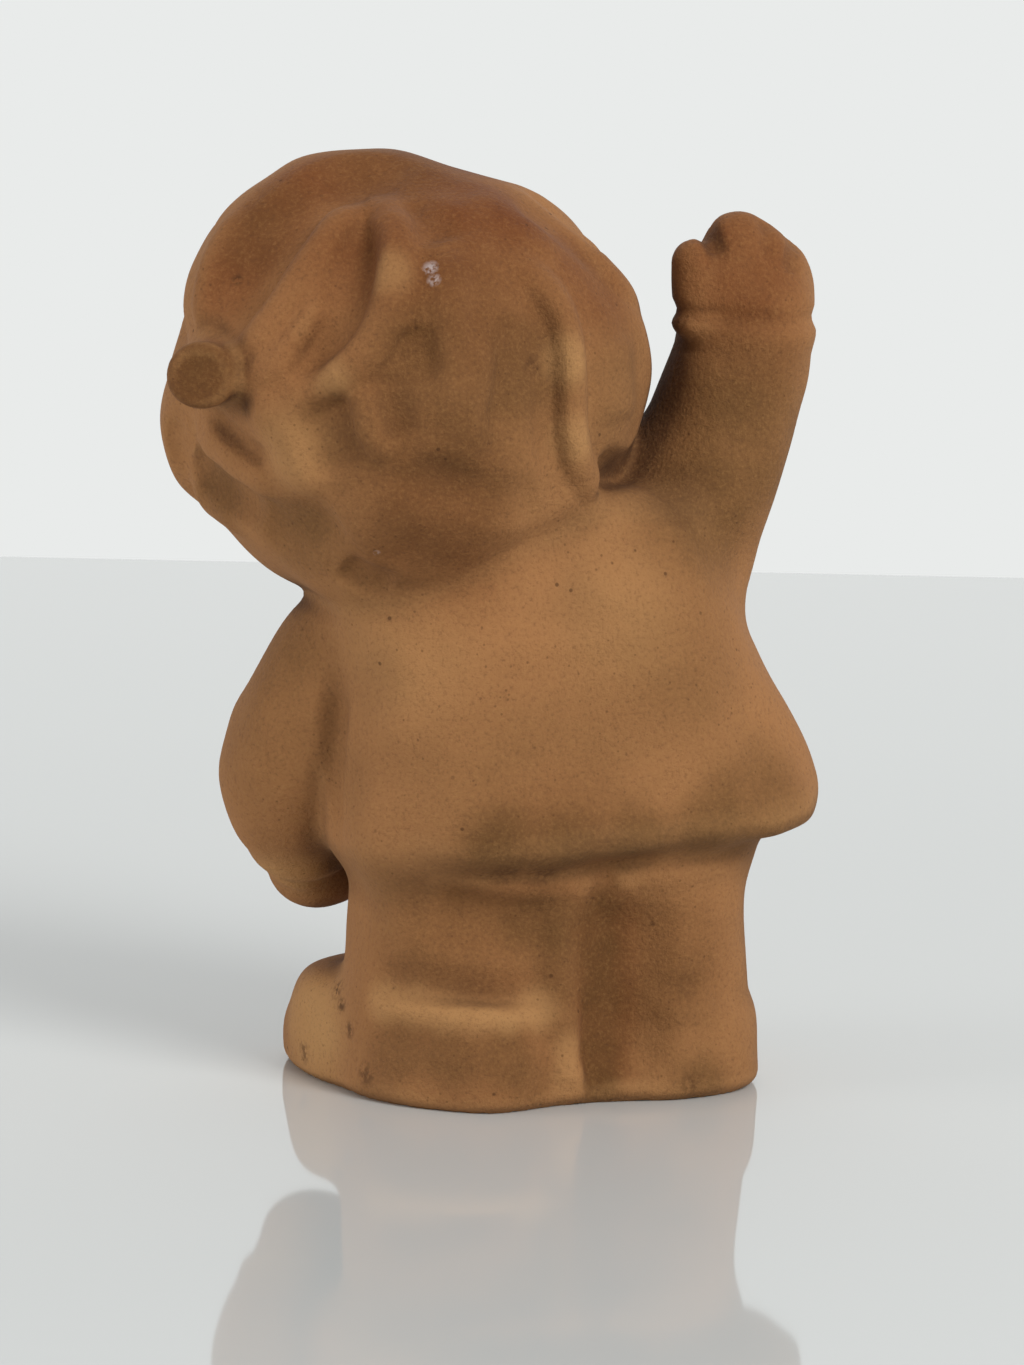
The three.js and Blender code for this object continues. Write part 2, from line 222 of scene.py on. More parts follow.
# %% [markdown]
# ## Strokes
#
# A stroke is a rounded ridge or a pressed line along a path. It fades to nothing at twice its width
# and grows shallow towards both ends, as a thumb or a round tool leaves it. Most paths are drawn as
# the picture shows them, in points of the picture, and `seen_at` follows the camera's rays through
# those points until they meet the clay.

# %% Stroke tools
END_FADE = (-0.04, 0.20)
STROKE_FADE = 0.85


def along_path(q, path, width, fade):
    """1 on the path, 0 at twice the width, and less by up to the fade towards its ends."""
    runs = length(np.diff(path, axis=0))
    travelled = np.concatenate([[0], np.cumsum(runs)])
    middle = path.mean(0)
    reach = length(path - middle).max() + 2 * width
    found = np.flatnonzero(length(q - middle) < reach)
    out = np.zeros(len(q))
    near, place = np.full(len(found), np.inf), np.zeros(len(found))
    for a, b, start, run in zip(path, path[1:], travelled, runs):
        ab = b - a
        t = np.clip((q[found] - a) @ ab / (ab @ ab), 0, 1)
        away = length(q[found] - a - t[:, None] * ab)
        closer = away < near
        near = np.where(closer, away, near)
        place = np.where(closer, start + t * run, place)
    rounded = np.clip(1 - (near / (2 * width)) ** 2, 0, 1) ** 2
    from_end = np.minimum(place, travelled[-1] - place) / travelled[-1]
    out[found] = rounded * (1 - fade + fade * ramp(from_end, *END_FADE))
    return out


def raised_by(q, strokes, fade=STROKE_FADE):
    total = np.zeros(len(q))
    for height, width, path in strokes:
        total += height * along_path(q, path, width, fade)
    return total


straight = np.array([[0.0, 0.0, 0.0], [10.0, 0.0, 0.0]])
kept = along_path(straight[:1], straight, 1.0, STROKE_FADE)[0]
print("a stroke keeps", round(kept, 2), "of its height at its end")


# %% Where the camera sees a picture point
PICTURE = np.array([1024, 1365])
FOCAL = LENS_MM / FILM_HEIGHT_MM * PICTURE[1]
EYE = LOOKED_AT + CAMERA_SHARES * back
RAY_STEPS = np.linspace(CAMERA_SHARES - 45, CAMERA_SHARES + 50, 240)


def seen_at(field, picture_points):
    """The first place on each ray that is inside the clay, or the closest one."""
    spots = np.array(picture_points, float) - PICTURE / 2
    rays = (spots[:, :1] * right - spots[:, 1:] * up) / FOCAL - back
    along = EYE + RAY_STEPS[None, :, None] * rays[:, None, :]
    values = field(along.reshape(-1, 3)).reshape(len(spots), -1)
    inside = values < 0
    chosen = np.where(inside.any(1), inside.argmax(1), values.argmin(1))
    return along[np.arange(len(spots)), chosen]


def drawn(field, rows):
    """Strokes given in picture points, laid on a field."""
    return [(height, width, smooth(seen_at(field, path), 4)) for height, width, path in rows]


print("rays start at", EYE.round(1), "shares and step by", round(float(np.diff(RAY_STEPS)[0]), 2))

# %% [markdown]
# ## Tunic
#
# The tunic flares from the shoulders to a hem that lifts towards the raised arm. Its section is a
# rounded rectangle, wider than deep, so a standing body with a power a little above 2 gives it.

# %% Tunic
TUNIC = [
    (20, -3.6, 26.4, 17.6),
    (27, -3.6, 27.2, 18.2),
    (31, -2.9, 26.9, 17.6),
    (36, -1.9, 25.6, 16.4),
    (44, 0.4, 23.3, 15.6),
    (52, 2.5, 21.4, 15.0),
    (60, 3.2, 18.6, 13.6),
]
HEM_HEIGHT = 25.4
HEM_SLOPE = 0.103
HEM_ROUNDING = 4.8
SHOULDER_TOP = 63.0
SHOULDER_ROUNDING = 6
TUNIC_SQUARENESS = 2.5


def tunic(p):
    above_hem = HEM_HEIGHT - HEM_SLOPE * p[:, 0] - p[:, 2]
    open_below = overlap(standing(p, TUNIC, TUNIC_SQUARENESS), above_hem, HEM_ROUNDING)
    return overlap(open_below, p[:, 2] - SHOULDER_TOP, SHOULDER_ROUNDING)


print("hem at", round(HEM_HEIGHT * MM_PER_SHARE, 1), "mm in the middle")

# %% [markdown]
# ## Trousers and boots
#
# Both legs are one mass, as a mould gives them. The boots stand out a little below them, with a
# ledge over the left heel, and the left boot points outwards. The line between the legs is drawn
# later.

# %% Trousers
TROUSERS = [
    (-4, 0.0, 22.4, 14.6),
    (10, -0.3, 21.6, 13.6),
    (20, -0.5, 21.0, 13.4),
    (30, -1.2, 21.8, 13.6),
    (40, 0.0, 19.0, 13.0),
]
TROUSERS_SQUARENESS = 2.8
TROUSERS_TOP = 36


def trousers(p):
    return overlap(standing(p, TROUSERS, TROUSERS_SQUARENESS), p[:, 2] - TROUSERS_TOP, 2)


print("trousers end inside the tunic at", round(TROUSERS_TOP * MM_PER_SHARE, 1), "mm")


# %% Boots
SOLE_MIDDLE = 2.0
HEEL_PLAN_SQUARENESS = 2.6
HEEL_SIDE_SQUARENESS = 5.5
TOE_SQUARENESS = 2.4
# Middle and radii of the heel, middle and radii of the toe, and the way the boot points.
LEFT_BOOT = ((11.6, -1.0), (10.6, 17.4, 9.8), (13.8, -12.8), (9.0, 10.3, 9.1), turned(22))
RIGHT_BOOT = ((-12.0, -2.0), (11.1, 15.4, 8.4), (-12.0, -12.0), (9.8, 9.5, 10.0), turned(-5))


def squarer(a, b, power):
    return (a ** power + b ** power) ** (1 / power)


def heel_block(q, radii):
    """Round from above and squarer from the side, so that its top is a ledge."""
    across, along, tall = np.abs(q / np.array(radii, float)).T
    plan = squarer(across, along, HEEL_PLAN_SQUARENESS)
    k = squarer(plan, tall, HEEL_SIDE_SQUARENESS)
    return length(q) * (1 - 1 / np.maximum(k, 1e-3))


def boot(p, heel, heel_radii, toe, toe_radii, axes):
    back_part = heel_block(local(p, (*heel, SOLE_MIDDLE), axes), heel_radii)
    front_part = full_egg(local(p, (*toe, SOLE_MIDDLE), axes), toe_radii, TOE_SQUARENESS)
    return join(back_part, front_part, 3)


def boots(p):
    return np.minimum(boot(p, *LEFT_BOOT), boot(p, *RIGHT_BOOT))


print("the left heel is", round((SOLE_MIDDLE + LEFT_BOOT[1][2]) * MM_PER_SHARE, 1), "mm tall")

# %% [markdown]
# ## Arms
#
# The sleeves are thick rolls of clay. The right one rises beside the head and ends in a mitten
# hand with low fingertips and a thumb; the left one hangs and bends forward to a plain mitten.

# %% Arms and hands
RAISED_SLEEVE = [
    (-8.9, -2.0, 46.0, 9.6),
    (-13.7, -1.5, 58.0, 9.6),
    (-18.3, 0.0, 68.0, 7.7),
    (-20.7, 1.5, 80.0, 7.0),
]
LOWERED_SLEEVE = [
    (14.0, -2.0, 53.6, 7.4),
    (19.6, -5.0, 44.0, 8.1),
    (23.6, -10.0, 33.0, 8.6),
    (21.8, -16.0, 24.6, 6.2),
]
PALM_AXES = turned(18, 8)
PALM = (-20.4, 2.0, 82.3)
PALM_RADII = (7.9, 4.8, 7.5)
FINGERTIPS = (-19.0, 2.4, 87.6)
FINGERTIP_RADII = (3.7, 3.6, 3.7)
THUMB = ((-14.6, 3, 80.6), (-13.7, 3.6, 86.0), 3.0, 2.4)
LOWERED_MITTEN = (18.9, -19.2, 21.0)
MITTEN_RADII = (6.2, 5.2, 5.4)


def raised_hand(p):
    palm = egg(local(p, PALM, PALM_AXES), (0, 0, 0), PALM_RADII)
    palm = join(palm, egg(p, FINGERTIPS, FINGERTIP_RADII), 1.6)
    return join(palm, roll(p, *THUMB), 1.2)


def lowered_hand(p):
    return egg(p, LOWERED_MITTEN, MITTEN_RADII)


print("the raised hand is", round(2 * PALM_RADII[0] * MM_PER_SHARE, 1), "mm wide without its thumb")

# %% [markdown]
# Where a hand leaves its sleeve there is a shallow line with a low lip before it, as a thread or a
# narrow tool would press it. It is added to the distance, so it follows the form under it.

# %% Cuffs
RAISED_CUFF = np.array([-20.6, 1.4, 80.1])
RAISED_WAY = np.array([-0.03, 0.10, 0.99])
LOWERED_CUFF = np.array([21.2, -17.0, 23.4])
LOWERED_WAY = np.array([-0.22, -0.55, -0.80])
LINE_DEPTH = 0.42
LIP_HEIGHT = 0.25


def cuff(p, middle, way):
    """Deepens the line where a hand leaves its sleeve and raises the sleeve's lip before it."""
    a = p - middle
    along = a @ way
    around = 1 - ramp(length(a), 9, 12)
    line = np.clip(1 - ((along - 0.8) / 1.5) ** 2, 0, 1) ** 2
    lip = np.clip(1 - ((along + 1.0) / 2.2) ** 2, 0, 1) ** 2
    return (LINE_DEPTH * line - LIP_HEIGHT * lip) * around


print("the cuff's line is up to", round(LINE_DEPTH * MM_PER_SHARE, 2), "mm deep")

# %% [markdown]
# ## Head
#
# The head is nearly half of the figure. It is turned to its left and leans that way. A full egg
# makes the skull. Softer masses are pressed on for the hair in front, the right lock, the nape, the
# cheeks and the root of the left knot.

# %% Head masses
HEAD = (14.6, -3.0, 72.4)
HEAD_AXES = turned(22, 10)
KNOT_RADIUS = 3.45
KNOT_LENGTH = 3.5
LEFT_KNOT = (25.0, -0.3, 6.6)
LEFT_KNOT_WAY = np.array([0.72, 0.69, 0.05])
RIGHT_KNOT = (23.0, -6.5, 6.0)
RIGHT_KNOT_WAY = np.array([0.95, -0.30, 0.0])
KNOT_RIM = 1.0
KNOT_INSIDE = 8
KNOT_FLARE = 0.06
SKULL_RADII = (22.5, 23.0, 22.6)
SKULL_SQUARENESS = 2.2
HAIR_IN_FRONT = ((3.0, -3.3, 8.1), (19, 15.3, 17))
RIGHT_LOCK = ((-12.3, 7.8, 1.1), (10.2, 10.5, 11.7))
NAPE = ((4.8, 4.7, -12.2), (13.4, 11.4, 8.9))
CHEEK = ((12.6, -11.4, -1.3), (9.3, 9.2, 10.5))
LEFT_KNOT_BED = ((18.2, 3.4, 5.0), (5.2, 7.0, 6.6))


def knot(q, side, root, way):
    """A short boss that widens a little to a flat end with a rounded rim."""
    a = q * (side, 1, 1) - np.array(root)
    along = a @ way
    past = along - KNOT_LENGTH
    around = length(a - along[:, None] * way) - KNOT_RADIUS - KNOT_FLARE * past + KNOT_RIM
    ends = np.maximum(past, -along - KNOT_INSIDE) + KNOT_RIM
    outside = np.hypot(np.maximum(around, 0), np.maximum(ends, 0))
    return outside + np.minimum(np.maximum(around, ends), 0) - KNOT_RIM


def head_masses(q):
    d = full_egg(q, SKULL_RADII, SKULL_SQUARENESS)
    for middle, radii in (HAIR_IN_FRONT, RIGHT_LOCK, NAPE):
        d = join(d, egg(q, middle, radii), 3)
    for side in (1, -1):
        d = join(d, egg(q * (side, 1, 1), *CHEEK), 2)
    d = join(d, egg(q, *LEFT_KNOT_BED), 2)
    left = knot(q, 1, LEFT_KNOT, LEFT_KNOT_WAY)
    right = knot(q, -1, RIGHT_KNOT, RIGHT_KNOT_WAY)
    return join(d, np.minimum(left, right), 2.2)


print("the skull is", round(2 * SKULL_RADII[0] * MM_PER_SHARE, 1), "mm wide under the hair")


# %% [markdown]
# ## Hair
#
# The hair is parted from the forehead to the nape. From the parting, strands sweep to each ear and
# into the knot, and short ones hang under it. A stroke is its height, its width and its path. The
# strands by the ear are pressed on the far side too, as their mirror image.

# %% Strands
STRANDS_BY_THE_EAR = [
    (-2.6, 2.8, [(405, 184), (362, 174), (314, 198), (274, 240), (244, 285), (220, 322)]),
    (1.0, 1.1, [(242, 212), (212, 258), (202, 298), (204, 328)]),
    (2.2, 1.4, [(352, 198), (322, 243), (293, 288), (266, 325), (244, 350)]),
    (1.2, 1.1, [(322, 300), (300, 335), (280, 360), (250, 380)]),
    (-2.4, 1.8, [(368, 222), (360, 262), (345, 302), (326, 340), (305, 368), (286, 382)]),
    (2.8, 1.4, [(388, 198), (394, 252), (390, 300), (376, 336), (353, 362), (327, 381), (300, 399)]),
    (-0.5, 1.0, [(214, 416), (240, 440), (270, 462)]),
    (0.9, 2.0, [(248, 402), (283, 430), (300, 465), (298, 494)]),
    (0.9, 1.3, [(205, 430), (225, 451), (250, 474), (276, 491)]),
    (-1.9, 1.7, [(190, 450), (210, 473), (235, 495), (262, 508)]),
    (0.8, 1.2, [(190, 480), (212, 508), (240, 527)]),
    (-1.4, 2.0, [(258, 518), (285, 528), (312, 525), (340, 514)]),
    (0.5, 0.9, [(188, 420), (186, 440), (192, 464)]),
    (-1.4, 0.9, [(175, 418), (172, 440), (179, 466)]),
]
STRANDS_BEHIND = [
    (-1.3, 2.2, [(350, 392), (328, 414), (330, 444), (344, 474)]),
    (1.2, 1.1, [(362, 384), (366, 418), (378, 444), (394, 458)]),
    (-0.8, 1.2, [(386, 372), (396, 410), (404, 440)]),
    (-1.1, 2.0, [(408, 325), (414, 352), (420, 386)]),
    (1.5, 1.3, [(450, 250), (452, 318), (455, 380), (458, 445)]),
    (-1.4, 2.2, [(522, 316), (516, 365), (504, 402), (496, 436)]),
    (1.2, 1.3, [(482, 340), (476, 400), (470, 458)]),
    (2.3, 1.15, [
        (520, 264), (548, 293), (564, 322), (571, 362), (572, 402), (573, 436), (581, 466), (598, 500)]),
    (-1.2, 1.4, [(524, 288), (540, 318), (547, 368), (549, 430), (559, 482)]),
    (1.1, 2.8, [(608, 335), (616, 380), (618, 424)]),
    (-2.6, 2.0, [(594, 472), (622, 481), (654, 466)]),
    (0.9, 2.3, [(345, 536), (395, 517), (435, 514)]),
    (-0.8, 1.7, [(400, 472), (450, 480), (500, 502), (545, 494)]),
    (-1.8, 1.4, [(341, 564), (366, 579), (394, 588)]),
    (-1.0, 1.8, [(400, 200), (425, 218), (445, 245)]),
    (0.6, 2.6, [(462, 195), (520, 228), (545, 264)]),
    (-0.8, 2.2, [(512, 200), (562, 228), (600, 268)]),
    (0.7, 2.4, [(420, 530), (480, 525), (530, 508)]),
]


def head_alone(p):
    return head_masses(local(p, HEAD, HEAD_AXES))


def on_head(rows):
    return [(h, w, local(path, HEAD, HEAD_AXES)) for h, w, path in drawn(head_alone, rows)]


ear_strands = on_head(STRANDS_BY_THE_EAR)
far_ear_strands = [(h, w, path * (-1, 1, 1)) for h, w, path in ear_strands]
seen_strands = ear_strands + on_head(STRANDS_BEHIND)
FAR_STRAND_DEPTH = 0.35
print(len(seen_strands) + len(far_ear_strands), "strokes of hair")


def hair(q):
    """The far strands are shallower, and fade out before the side that the picture shows."""
    far_side = FAR_STRAND_DEPTH * ramp(-q[:, 0], 9, 15)
    return raised_by(q, seen_strands) + raised_by(q, far_ear_strands) * far_side

# %% [markdown]
# ## Face
#
# The face is turned away in the picture, so it is a plain and calm one of the maker's own design:
# a shallow oval below the hair, almond eyes, a low nose and a small mouth. It is drawn on a ball
# around the middle of the head, by turn from the back of the head and by height, in degrees.

# %% Face
BALL = 24.0
FACE_FRONT = np.array([0.0, -0.963, -0.27])
FACE_EDGE = (0.66, 0.74)
FACE_DEPTH = 1.1
EYE_DEPTH = 1.2
MOUTH_DEPTH = 1.1


def on_ball(path):
    turn, height = np.radians(np.array(path, float)).T
    flat = np.cos(height)
    return BALL * np.stack([np.sin(turn) * flat, np.cos(turn) * flat, np.sin(height)], 1)


FACE_STROKES = [(h, w, smooth(on_ball(path), 4)) for h, w, path in (
    (1.9, 1.1, [(180, 2), (180, -8), (180, -16)]),
    (0.8, 1.9, [(178, -15), (182, -15)]),
    (0.5, 0.9, [(170, 10), (160, 13), (148, 10)]),
    (0.5, 0.9, [(190, 10), (200, 13), (212, 10)]),
    (-0.9, 1.6, [(180, 62), (180, 38), (180, 24)]),
)]
# Three pairs of strands from the parting to the knots, and two that hang beside the face.
FRONT_STRANDS = [
    (0.5, 1.7, [(172, 66), (142, 50), (120, 32), (108, 22)]),
    (-0.8, 1.5, [(174, 52), (150, 40), (128, 26), (114, 17)]),
    (0.5, 1.6, [(174, 40), (154, 31), (134, 20), (116, 11)]),
    (-0.9, 1.3, [(112, 4), (118, -8), (126, -22)]),
    (0.4, 1.4, [(104, 0), (108, -12), (114, -26)]),
]
for height, width, path in FRONT_STRANDS:
    for mirrored in (path, [(360 - turn, rise) for turn, rise in path]):
        FACE_STROKES.append((height, width, smooth(on_ball(mirrored), 4)))
print(len(FACE_STROKES), "strokes on the front of the head")


def hollow(n, centre, half):
    reach = np.hypot((n[:, 0] - centre[0]) / half[0], (n[:, 2] - centre[1]) / half[1])
    return (1 - ramp(reach, 0.5, 1.25)) * (n[:, 1] < 0)


def face_sunk(n):
    oval = n @ FACE_FRONT - 0.14 * np.abs(n[:, 0])
    both_sides = np.stack([np.abs(n[:, 0]), n[:, 1], n[:, 2]], 1)
    eyes = hollow(both_sides, (0.34, -0.10), (0.15, 0.055))
    mouth = hollow(n, (0, -0.50), (0.13, 0.045))
    return FACE_DEPTH * ramp(oval, *FACE_EDGE) + EYE_DEPTH * eyes + MOUTH_DEPTH * mouth


def head(p):
    q = local(p, HEAD, HEAD_AXES)
    d = head_masses(q)
    close = np.abs(d) < 6
    n = q[close] / length(q[close])[:, None]
    d[close] += face_sunk(n) - raised_by(n * BALL, FACE_STROKES) - hair(q[close])
    return d

# %% [markdown]
# ## The whole figure
#
# All masses are pressed together, each with a fillet of its own. Then the lines of the clothes are
# drawn: the line between the legs, the ledges of the boots, the gaps between the fingers and a few
# broad folds.

# %% Masses pressed together
CHEST = ((8, -2, 54), (12, -3, 66), 13, 13)


def masses(p):
    """The last number of each join is how softly that mass is pressed on."""
    d = join(tunic(p), trousers(p), 3)
    d = join(d, boots(p), 1.5)
    d = join(d, limb(p, LOWERED_SLEEVE), 1.6)
    d = join(d, lowered_hand(p), 0.8)
    d = join(d, limb(p, RAISED_SLEEVE), 2.6)
    d = join(d, raised_hand(p), 0.8)
    return join(d, roll(p, *CHEST), 3)


BODY_LINES = [
    (-3.4, 1.0, [(605, 885), (602, 960), (601, 1030), (600, 1098)]),
    (-3.4, 3.7, [(624, 896), (622, 970), (620, 1030), (618, 1090)]),
    (1.1, 1.3, [(572, 1000), (573, 1030), (574, 1060), (574, 1090)]),
    (-0.3, 1.0, [(541, 925), (542, 970), (545, 1005)]),
    (-0.5, 1.8, [(372, 976), (430, 986), (490, 990), (545, 984)]),
    (0.5, 1.5, [(372, 1008), (400, 1012), (450, 1018), (500, 1018), (548, 1012)]),
    (-0.4, 1.4, [(376, 1036), (420, 1036), (480, 1040), (520, 1038), (550, 1030)]),
    (-0.6, 1.1, [(622, 982), (660, 990), (705, 984)]),
    (0.5, 1.2, [(625, 1003), (665, 1010), (720, 1003)]),
    (-0.5, 0.9, [(708, 226), (711, 240), (716, 258)]),
    (-0.5, 0.9, [(762, 220), (766, 238), (768, 262)]),
    (-0.45, 0.9, [(792, 240), (790, 256), (788, 276)]),
    (0.8, 4.5, [(520, 620), (500, 700), (470, 790), (460, 840)]),
    (-0.9, 4.5, [(590, 640), (600, 720), (620, 790)]),
    (0.8, 4.0, [(680, 640), (700, 720), (730, 790)]),
    (-1.5, 1.4, [(338, 690), (336, 760), (334, 830)]),
    (-0.7, 2.0, [(500, 815), (600, 818), (700, 800)]),
    (0.7, 1.1, [(440, 884), (540, 887), (640, 878), (735, 862)]),
    (-1.5, 2.2, [(430, 905), (490, 925), (560, 928)]),
]
body_strokes = drawn(masses, BODY_LINES)
print(len(body_strokes), "strokes on the body")


# %% [markdown]
# Hand-pressed clay is never quite even, so a few long, very low waves in seeded directions take the
# machine look away. The soles are cut flat on the table, with a worn edge.

# %% Figure
rng = np.random.default_rng(7)
WAVES = 28
wave_length = rng.uniform(5, 16, WAVES)
wave_way = rng.normal(size=(WAVES, 3))
wave_way /= length(wave_way)[:, None]
wave_start = rng.uniform(0, 2 * np.pi, WAVES)
WAVE_HEIGHT = 0.004
SOLE_EDGE = 1.7


def uneven(p):
    total = np.zeros(len(p))
    for way, span, start in zip(wave_way, wave_length, wave_start):
        total += WAVE_HEIGHT * span * np.sin(p @ way * (2 * np.pi / span) + start)
    return total


def figure(p):
    d = masses(p) - raised_by(p, body_strokes)
    d += cuff(p, RAISED_CUFF, RAISED_WAY) + cuff(p, LOWERED_CUFF, LOWERED_WAY)
    d = join(d, head(p), 1.6) + uneven(p)
    return overlap(d, -p[:, 2], SOLE_EDGE)


print(WAVES, "waves, the longest", round(wave_length.max() * MM_PER_SHARE, 1), "mm")

# %% [markdown]
# ## The skin
#
# The field is read on a coarse grid first, and then on a fine one only near the surface. Each fine
# cell that the surface crosses gets one point, and neighbouring cells are joined by four-sided
# faces. The points are then moved onto the surface itself.

# %% Read the field near its surface
CELL = 0.525
COARSE = 4
LOW = np.array([-34.0, -34.0, -3.0])
HIGH = np.array([46.0, 26.0, 101.0])
POINTS_AT_ONCE = 150000


def read_field(field):
    count = np.ceil((HIGH - LOW) / (CELL * COARSE)).astype(int) * COARSE
    axes = [start + CELL * (np.arange(0, n, COARSE) + COARSE / 2) for start, n in zip(LOW, count)]
    coarse = field(np.stack(np.meshgrid(*axes, indexing="ij"), -1).reshape(-1, 3))
    coarse = coarse.reshape([len(a) for a in axes])
    close = np.abs(coarse) < CELL * COARSE * 1.6
    fine = np.where(coarse > 0, 1e3, -1e3)
    for axis in range(3):
        close, fine = np.repeat(close, COARSE, axis), np.repeat(fine, COARSE, axis)
    points = LOW + CELL * np.argwhere(close)
    starts = range(0, len(points), POINTS_AT_ONCE)
    values = [field(points[n:n + POINTS_AT_ONCE]) for n in starts]
    fine[close] = np.concatenate(values)
    return fine


grid = read_field(figure)
print("grid of", grid.shape, "cells of", round(CELL * MM_PER_SHARE, 2), "mm")


# %% Lay the skin
def lay_skin(grid):
    n = np.array(grid.shape)
    inside = grid < 0
    corners = np.array([(i, j, k) for i in (0, 1) for j in (0, 1) for k in (0, 1)])
    full = np.zeros(n - 1, int)
    for i, j, k in corners:
        full += inside[i:n[0] - 1 + i, j:n[1] - 1 + j, k:n[2] - 1 + k]
    crossed = (full > 0) & (full < 8)
    cells = np.argwhere(crossed)
    number = np.full(crossed.shape, -1)
    number[crossed] = np.arange(len(cells))
    total, count = np.zeros((len(cells), 3)), np.zeros(len(cells))
    for a in corners:
        for axis in np.flatnonzero(a == 0):
            b = a + np.eye(3, dtype=int)[axis]
            start, end = grid[tuple((cells + a).T)], grid[tuple((cells + b).T)]
            cuts = (start < 0) != (end < 0)
            t = np.where(cuts, start / np.where(cuts, start - end, 1), 0)
            total += (a + t[:, None] * (b - a)) * cuts[:, None]
            count += cuts
    points = LOW + CELL * (cells + total / count[:, None])
    faces = []
    for axis in range(3):
        u, w = [other for other in range(3) if other != axis]
        here = np.array([slice(1, m - 1) for m in n])
        here[axis] = slice(0, n[axis] - 1)
        ahead = here.copy()
        ahead[axis] = slice(1, n[axis])
        a, b = inside[tuple(here)], inside[tuple(ahead)]
        base = np.argwhere(a != b) + [s.start for s in here]
        ring = []
        for du, dw in ((-1, -1), (0, -1), (0, 0), (-1, 0)):
            c = base.copy()
            c[:, u] += du
            c[:, w] += dw
            ring.append(number[tuple(c.T)])
        ring = np.stack(ring, 1)
        forward = a[a != b] if axis != 1 else ~a[a != b]
        faces.append(np.where(forward[:, None], ring, ring[:, ::-1]))
    return points, np.vstack(faces)


laid_points, faces = lay_skin(grid)
print(len(laid_points), "points and", len(faces), "four-sided faces")


# %% Move the points onto the surface
LOOK = np.array([[1, -1, -1], [-1, -1, 1], [-1, 1, -1], [1, 1, 1]], float)
SOLE_SNAP = 0.1


def slope(field, points, step=0.08):
    return sum(look * field(points + look * step)[:, None] for look in LOOK) / (4 * step)


def settle(field, start, rounds=2):
    points = start.copy()
    for _ in range(rounds):
        g = slope(field, points)
        move = field(points) / np.maximum((g * g).sum(1), 0.3)
        points -= np.clip(move, -CELL, CELL)[:, None] * g
        away = points - start
        points = start + away * np.minimum(1, 0.7 * CELL / np.maximum(length(away), 1e-9))[:, None]
    return points


points = settle(figure, laid_points)
moved = length(points - laid_points)
points[points[:, 2] < SOLE_SNAP, 2] = 0
print("points moved by up to", round(moved.max() * MM_PER_SHARE, 2), "mm;", 2 * len(faces), "triangles")

# %% [markdown]
# ## What the clay remembers, and painted light and shade
#
# Creases are darkened where the surface closes in on itself: painted shade, with the dirt that
# gathers there. Edges rub pale. Both are read from the field: a little way out from a crease the
# clay is still near, and a little way in from an edge the air is near. Each becomes one number per
# point of the mesh.

# %% Creases (painted shade and dirt) and edges
normals = slope(figure, points, 0.3)
normals /= np.maximum(length(normals), 1e-9)[:, None]


def closed_in(reach):
    return np.clip(1 - figure(points + normals * reach) / reach, 0, 1)


def stands_out(reach):
    return np.clip(1 + figure(points - normals * reach) / reach, 0, 1)


# Painted shade: the closer the clay closes in around a point, the darker it is painted.
crease_shade_and_dirt = 0.5 * closed_in(1.6) + 0.5 * closed_in(4.0)
edge = stands_out(1.6)
print("crease_shade_and_dirt", crease_shade_and_dirt.mean().round(3), "edge", edge.mean().round(3))

# %% [markdown]
# The fire leaves its own marks. Where smoke settled in the kiln the clay is greyer, and where the
# flame came close it is redder. The same brown and red patches also paint shade where it falls: in
# the groove between the legs, under the hem, under the ledge of the boot, in hollows of the hair and
# at the nape. Pale patches are rubbed wear and dust, and also painted highlights on the boot's ledge,
# on ridges of hair, beside the groove and on the left hand. Each is a set of soft round patches:
# strength, radius and the picture point in its middle.

# %% Smoke, flame and wear, with painted shade and highlights
# Brown patches: kiln smoke, and painted shade in the groove, under the hem, below the heel's ledge and
# in hollows of the hair.
SMOKE_AND_SHADE_PATCHES = [
    (0.40, 4.5, (278, 208)),
    (0.45, 4.5, (252, 244)),
    (0.40, 9.0, (390, 160)),
    (0.50, 14.0, (470, 370)),
    (0.48, 12.0, (440, 500)),
    (0.45, 5.0, (424, 348)),
    (0.70, 6.0, (522, 370)),
    (0.45, 6.0, (330, 425)),
    (0.35, 10.0, (262, 740)),
    (0.45, 7.0, (285, 640)),
    (0.90, 5.0, (203, 374)),
    (0.70, 4.5, (225, 490)),
    (0.70, 6.0, (300, 522)),
    (0.85, 12.0, (735, 440)),
    (0.70, 9.0, (690, 520)),
    (0.35, 13.0, (530, 790)),
    (0.75, 8.0, (760, 802)),
    (0.45, 9.0, (625, 400)),
    (0.40, 9.0, (690, 660)),
    (0.90, 5.0, (500, 850)),
    (0.90, 5.0, (570, 850)),
    (0.90, 5.0, (640, 845)),
    (0.90, 5.0, (710, 832)),
    (0.50, 8.0, (450, 935)),
    (0.80, 5.0, (535, 925)),
    (0.70, 4.0, (568, 930)),
    (0.60, 4.0, (564, 975)),
    (0.40, 3.6, (560, 1020)),
    (0.40, 9.0, (655, 950)),
    (0.30, 9.0, (660, 1030)),
    (0.95, 3.4, (598, 910)),
    (0.95, 3.4, (598, 940)),
    (0.95, 3.4, (598, 970)),
    (0.95, 3.4, (598, 1000)),
    (0.90, 3.2, (598, 1030)),
    (0.90, 3.2, (598, 1060)),
    (0.90, 3.0, (598, 1088)),
    (0.70, 2.6, (594, 950)),
    (0.70, 2.6, (594, 985)),
    (0.70, 2.4, (594, 1015)),
    (0.70, 2.4, (594, 1045)),
    (0.50, 4.0, (400, 1052)),
    (0.60, 4.0, (450, 1056)),
    (0.60, 4.0, (505, 1056)),
    (0.50, 3.6, (530, 1085)),
    (0.70, 4.0, (700, 1086)),
]
